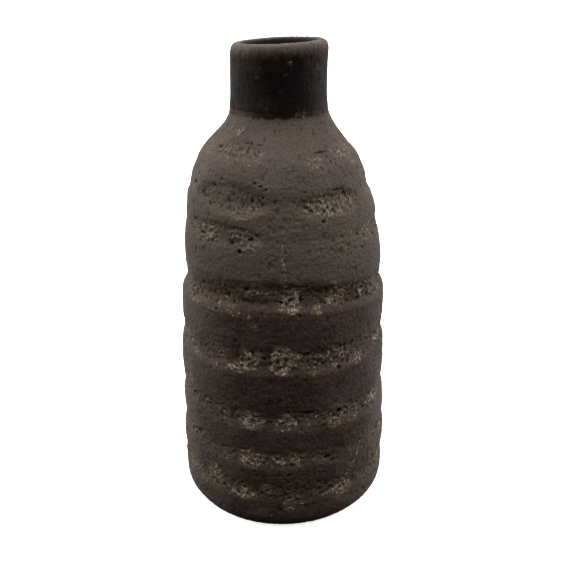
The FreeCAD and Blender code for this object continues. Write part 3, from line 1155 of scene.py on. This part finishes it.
BODY_SLIP = stoneware(
    "body_slip", SLIP_DARK, SLIP_LIGHT, dust_and_light=0.85, speck=0.7, sand=1.0, drag=0.5,
    roughness=0.66, relief_mm=0.42,
)
NECK_SLIP = stoneware(
    "neck_slip", NECK_DARK, NECK_LIGHT, dust_and_light=0.8, speck=0.4, sand=0.8, drag=0.2,
    roughness=0.66, relief_mm=0.32,
)
BARE_CLAY = stoneware(
    "bare_clay", BARE_CLAY_AND_SHADE, BARE_CLAY_AND_SHADE, dust_and_light=0.0, speck=0.7, sand=1.4, drag=0.0,
    roughness=0.75, relief_mm=0.2,
)
print("materials:", [m.name for m in (BODY_SLIP, NECK_SLIP, BARE_CLAY)])

# %% [markdown]
# ## The floor slab and its coil
#
# The pot starts as a round slab of clay. Its edge is rounded over where the first strap
# was dragged down onto it, and its underside keeps the curved lines of the cutting wire.
# A thin coil is pressed into the corner inside, so that the floor doesn't crack away.

# %% The slab
WIRE_LINES = 0.14
WIRE_SPACING = 3.1
WIRE_BOW = 0.012
SLAB_HOLLOW = 0.5


def slab_underside(edge):
    """Rings from the middle out to the foot: nearly flat, hollow at the middle, with
    bowed ripples that run across it as the wire was pulled through."""
    share = np.linspace(0.02, 1, 44)[:-1, None]
    radius = edge * share
    x, y = radius * np.sin(ANGLE), radius * np.cos(ANGLE)
    across = (y + WIRE_BOW * x**2) / WIRE_SPACING
    ripple = WIRE_LINES * np.sin(TURN * across) * (1 - share**6)
    return plain_rows(radius, SLAB_HOLLOW * (1 - share**2) + np.abs(ripple) * 0.8)


def build_slab():
    """Underside, rounded outer edge and flat top, closed by a point at each middle."""
    t = np.linspace(0, 1, 22)[:, None]
    turn = np.arcsin(1 - SLAB_TOP / FOOT_ROUNDING_HEIGHT)
    level = FOOT_ROUNDING_HEIGHT * (1 - np.sin(math.pi / 2 + (turn - math.pi / 2) * t))
    edge = read_wall(level + 0 * ANGLE)
    top_share = np.linspace(1, 0.05, 12)[1:, None]
    top = plain_rows(edge["radius"][-1] * top_share, SLAB_TOP)
    under = slab_underside(edge["radius"][0])
    add_piece(
        "floor_slab", "base_slab", [under, edge, top], BODY_SLIP,
        poles=(SLAB_HOLLOW, SLAB_TOP),
    )


build_slab()

# %% The coil inside
COIL_LUMPS = 26


def build_inner_coil():
    """A rope of clay smeared into the corner: a quarter round with finger lumps."""
    low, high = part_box("base_inner_coil")
    reach = (high.z - low.z) / MM
    wall, floor = high.x / MM, low.z / MM
    t = np.linspace(0, 1, 12)[:, None]
    lump = 0.5 * np.sin(COIL_LUMPS * ANGLE + 2 * np.sin(3 * ANGLE))
    lump = lump + 0.4 * noise(ANGLE, 0 * t, 9, 711)
    size = reach - 1.2 * np.sin(math.pi * t) + lump * np.sin(math.pi * t)
    radius = wall - size * np.cos(t * math.pi / 2)
    height = floor + size * np.sin(t * math.pi / 2)
    face = plain_rows(radius[::-1], height[::-1])
    corner = plain_rows(np.full((1, 1), wall), np.full((1, 1), floor))
    add_piece(
        "inner_coil", "base_inner_coil", [face, corner], BARE_CLAY
    )


build_inner_coil()

# %% [markdown]
# ## The straps
#
# Every strap is cut from the wall in the same way, so one function and a loop make them.
# The joints slope: in the upright wall they rise inwards, and on the shoulder they fall
# inwards, square to the wall, as the design model's rings do.

# %% Foot, wall and shoulder straps
INNER_DROP = [-2.5, -2.5, -2.5, -2.5, -1.5, 1.0, 2.5, 4.0]


def build_strap(number, name):
    """One strap: outside, top joint, inside and bottom joint."""
    low = SLAB_TOP + 0 * ANGLE if number == 0 else JOINTS[number - 1]
    high = JOINTS[number]
    inner_low = low if number == 0 else low - INNER_DROP[number - 1]
    outside = outside_rows(low, high)
    inside = inside_rows(high - INNER_DROP[number], inner_low)
    top = between(outside, inside, 2)
    bottom = between(inside, outside, 2)
    add_piece(
        name.replace("course", "strap"), name, [outside, top, inside, bottom],
        BODY_SLIP,
    )


for number, name in enumerate(COURSES[:-1]):
    build_strap(number, name)

# %% [markdown]
# ## Cap and neck
#
# The cap closes the shoulder down to a round hole. The neck is a straight collar that
# stands on it, and a thin coil smoothed into the corner hides their joint. Only the parts
# that show follow the detailed wall. What the coil covers is plain.

# %% The cap
COIL_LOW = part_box("neck_fillet_coil")[0].z / MM + wander(131, 0.3)
COIL_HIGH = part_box("neck_fillet_coil")[1].z / MM + wander(132, 0.4)
ROOT_RADIUS = 27.8
BORE = INSIDE[-1][1]
HOLE_DROP = 4.0
root = plain_rows(np.full((1, 1), ROOT_RADIUS), np.full((1, 1), NECK_ROOT))


def build_cap():
    """Outside up to the coil, then hidden under it to the neck's root, and the hole."""
    outside = outside_rows(JOINTS[-1], COIL_LOW)
    hole_top = plain_rows(np.full((1, 1), BORE), np.full((1, 1), NECK_ROOT))
    inside = inside_rows(NECK_ROOT - HOLE_DROP + 0 * ANGLE, JOINTS[-1] - INNER_DROP[-1])
    bottom = between(inside, outside, 2)
    add_piece(
        "cap", "shoulder_cap",
        [outside, between(outside, root, 2), root, hole_top, inside, bottom],
        BODY_SLIP,
    )


build_cap()

# %% The coil round the neck
def build_neck_coil():
    """The visible curve from cap to neck, and two hidden faces that meet at the root."""
    outside = outside_rows(COIL_LOW, COIL_HIGH)
    add_piece(
        "neck_coil", "neck_fillet_coil",
        [outside, between(outside, root, 2), root, between(root, outside, 2)],
        BODY_SLIP,
    )


build_neck_coil()

# %% The collar
def build_collar():
    """The neck's tube, from the root to the lip. Its inside is darker towards the lip, partly
    dark slip and partly painted shade.
    """
    outside = outside_rows(COIL_HIGH, LIP_ROOT)
    inside = inside_rows(LIP_ROOT, NECK_ROOT + 0 * ANGLE)
    # partly dark slip, partly painted shade, darker towards the lip
    inside["dark_and_shade"] = step(NECK_ROOT, LIP_ROOT, inside["height"])
    foot = between(inside, root, 1)
    add_piece(
        "collar", "neck_collar",
        [outside, between(outside, inside, 1), inside, foot, root, between(root, outside, 2)],
        NECK_SLIP,
    )


build_collar()

# %% [markdown]
# ## The lip
#
# The lip is a thin roll of clay, folded over the collar's edge and squeezed flat between
# wet fingers. A bevel would make it a plain quarter round, so its crest is written as a
# squared-off ellipse with a little unevenness. Its dark slip is worn pale on top, with
# painted light from above, and its inner side is painted black as shade.

# %% The lip
LIP_SPRING = 293.8
LIP_SQUARENESS = 2.3


def build_lip():
    """Outside, then over the crest on a squared-off ellipse, |x|^n + |y|^n = 1 where n is
    the lip's squareness, which rises to the crest and falls to the bore."""
    spring = LIP_SPRING + wander(141, 0.2)
    outside = outside_rows(LIP_ROOT, spring)
    inner = inside_rows(spring, LIP_ROOT, 7)
    turn = np.linspace(0, math.pi, 30)[1:-1, None]
    power = 2 / LIP_SQUARENESS
    across = np.sign(np.cos(turn)) * np.abs(np.cos(turn)) ** power
    up = np.sin(turn) ** power
    outer_edge, inner_edge = outside["radius"][-1], inner["radius"][0]
    middle, half = (outer_edge + inner_edge) / 2, (outer_edge - inner_edge) / 2
    uneven = 0.25 * layered(ANGLE, 40 * across, 11.0, 721, 3)
    radius = middle + half * across
    height = spring + (HEIGHT - spring + uneven) * up
    crest = plain_rows(radius, height)
    # the crest's inward side is painted dark as shade; its top gets dust with painted light
    inward = step(0.15, 0.65, -across) + 0 * radius
    crest["bare"] = inward
    crest["dark_and_shade"] = inward
    crest["dust_and_light"] = (1 - inward) * on_lip(height)
    crest["haze"] = 0.9 * hump(across, 0.8) * (1 + 0.4 * noise(ANGLE, 20 * across, 5.0, 731))
    inner["dark_and_shade"] = 1 + 0 * inner["radius"]
    add_piece(
        "lip", "lip_roll", [outside, crest, inner, between(inner, outside, 2)],
        NECK_SLIP,
    )


build_lip()

# %% [markdown]
# ## Floor and light
#
# The stage is a plain pale floor under one big soft dome of light. The floor also glows a
# little, so the pot stands on white with hardly any shadow. The dome's middle lies above
# and behind the pot, so the light rakes down over the front and wraps round both sides,
# which is what makes rough clay read. A dark flag low behind keeps the back from washing
# out. A large area light could do it too, but a world whose strength depends on direction
# has no edges and makes little noise.

# %% The floor
FLOOR_RADIUS = 30.0
FLOOR_SIDES = 64
FLOOR_GLOW = 0.8


def build_floor():
    """A flat disc under the foot, as a fan of triangles."""
    index = np.arange(FLOOR_SIDES)
    turn = index / FLOOR_SIDES * TURN
    rim = np.stack([np.cos(turn), np.sin(turn), 0 * turn], axis=-1) * FLOOR_RADIUS
    points = np.concatenate([rim, [(0, 0, 0)]])
    points[:, 2] = cad_low.z
    fan = np.stack([index, (index + 1) % FLOOR_SIDES, FLOOR_SIDES + 0 * index], axis=-1)
    mesh = new_mesh("floor", points, fan.ravel(), np.full(FLOOR_SIDES, 3))
    material = bpy.data.materials.new("pale_floor")
    material.use_nodes = True
    shader = material.node_tree.nodes["Principled BSDF"]
    shader.inputs["Base Color"].default_value = (0.85, 0.85, 0.85, 1)
    shader.inputs["Roughness"].default_value = 0.9
    shader.inputs["Specular IOR Level"].default_value = 0.0
    shader.inputs["Emission Color"].default_value = (1, 1, 1, 1)
    shader.inputs["Emission Strength"].default_value = FLOOR_GLOW
    mesh.materials.append(material)
    floor = bpy.data.objects.new("floor", mesh)
    bpy.context.scene.collection.objects.link(floor)
    floor.visible_diffuse = False
    floor.visible_glossy = False


build_floor()
print("floor radius in m:", FLOOR_RADIUS)

# %% The light
DOME_STRENGTH = 3.3
DOME_TIP = 52.0
FRONT_FILL = 0.03
FLAG_SHADE = 0.3
# cosines to the dome's axis, and to straight behind, between which light or shade comes in
DOME_EDGE = (-0.12, 0.06)
FLAG_EDGE = (0.60, 0.92)


def build_world():
    """Strength goes by the angle to an axis that is tipped back from straight up: full on
    the axis' side and only a little fill on the other. A flag straight behind dims it, so
    that the pot's back isn't washed out. The camera itself sees white."""
    world = bpy.data.worlds.new("studio")
    world.use_nodes = True
    bpy.context.scene.world = world
    tree = world.node_tree
    coordinates = tree.nodes.new("ShaderNodeTexCoord")
    split = tree.nodes.new("ShaderNodeSeparateXYZ")
    tree.links.new(coordinates.outputs["Generated"], split.inputs[0])
    tip = math.radians(DOME_TIP)
    back = combine(tree, "MULTIPLY", split.outputs["Y"], math.sin(tip))
    up = combine(tree, "MULTIPLY", split.outputs["Z"], math.cos(tip))
    along = combine(tree, "ADD", back, up)
    strength = remap(tree, along, *DOME_EDGE, FRONT_FILL, DOME_STRENGTH)
    flag = remap(tree, split.outputs["Y"], *FLAG_EDGE, 1.0, FLAG_SHADE)
    strength = combine(tree, "MULTIPLY", strength, flag)
    seen = tree.nodes.new("ShaderNodeLightPath").outputs["Is Camera Ray"]
    mixer = tree.nodes.new("ShaderNodeMix")
    tree.links.new(seen, mixer.inputs["Factor"])
    tree.links.new(strength, mixer.inputs["A"])
    mixer.inputs["B"].default_value = 1.0
    background = tree.nodes["Background"]
    background.inputs["Color"].default_value = (0.98, 1.0, 1.0, 1)
    tree.links.new(mixer.outputs["Result"], background.inputs["Strength"])


build_world()
bpy.context.scene.view_settings.view_transform = "Standard"
print("dome tipped back by", DOME_TIP, "degrees, strength", DOME_STRENGTH)
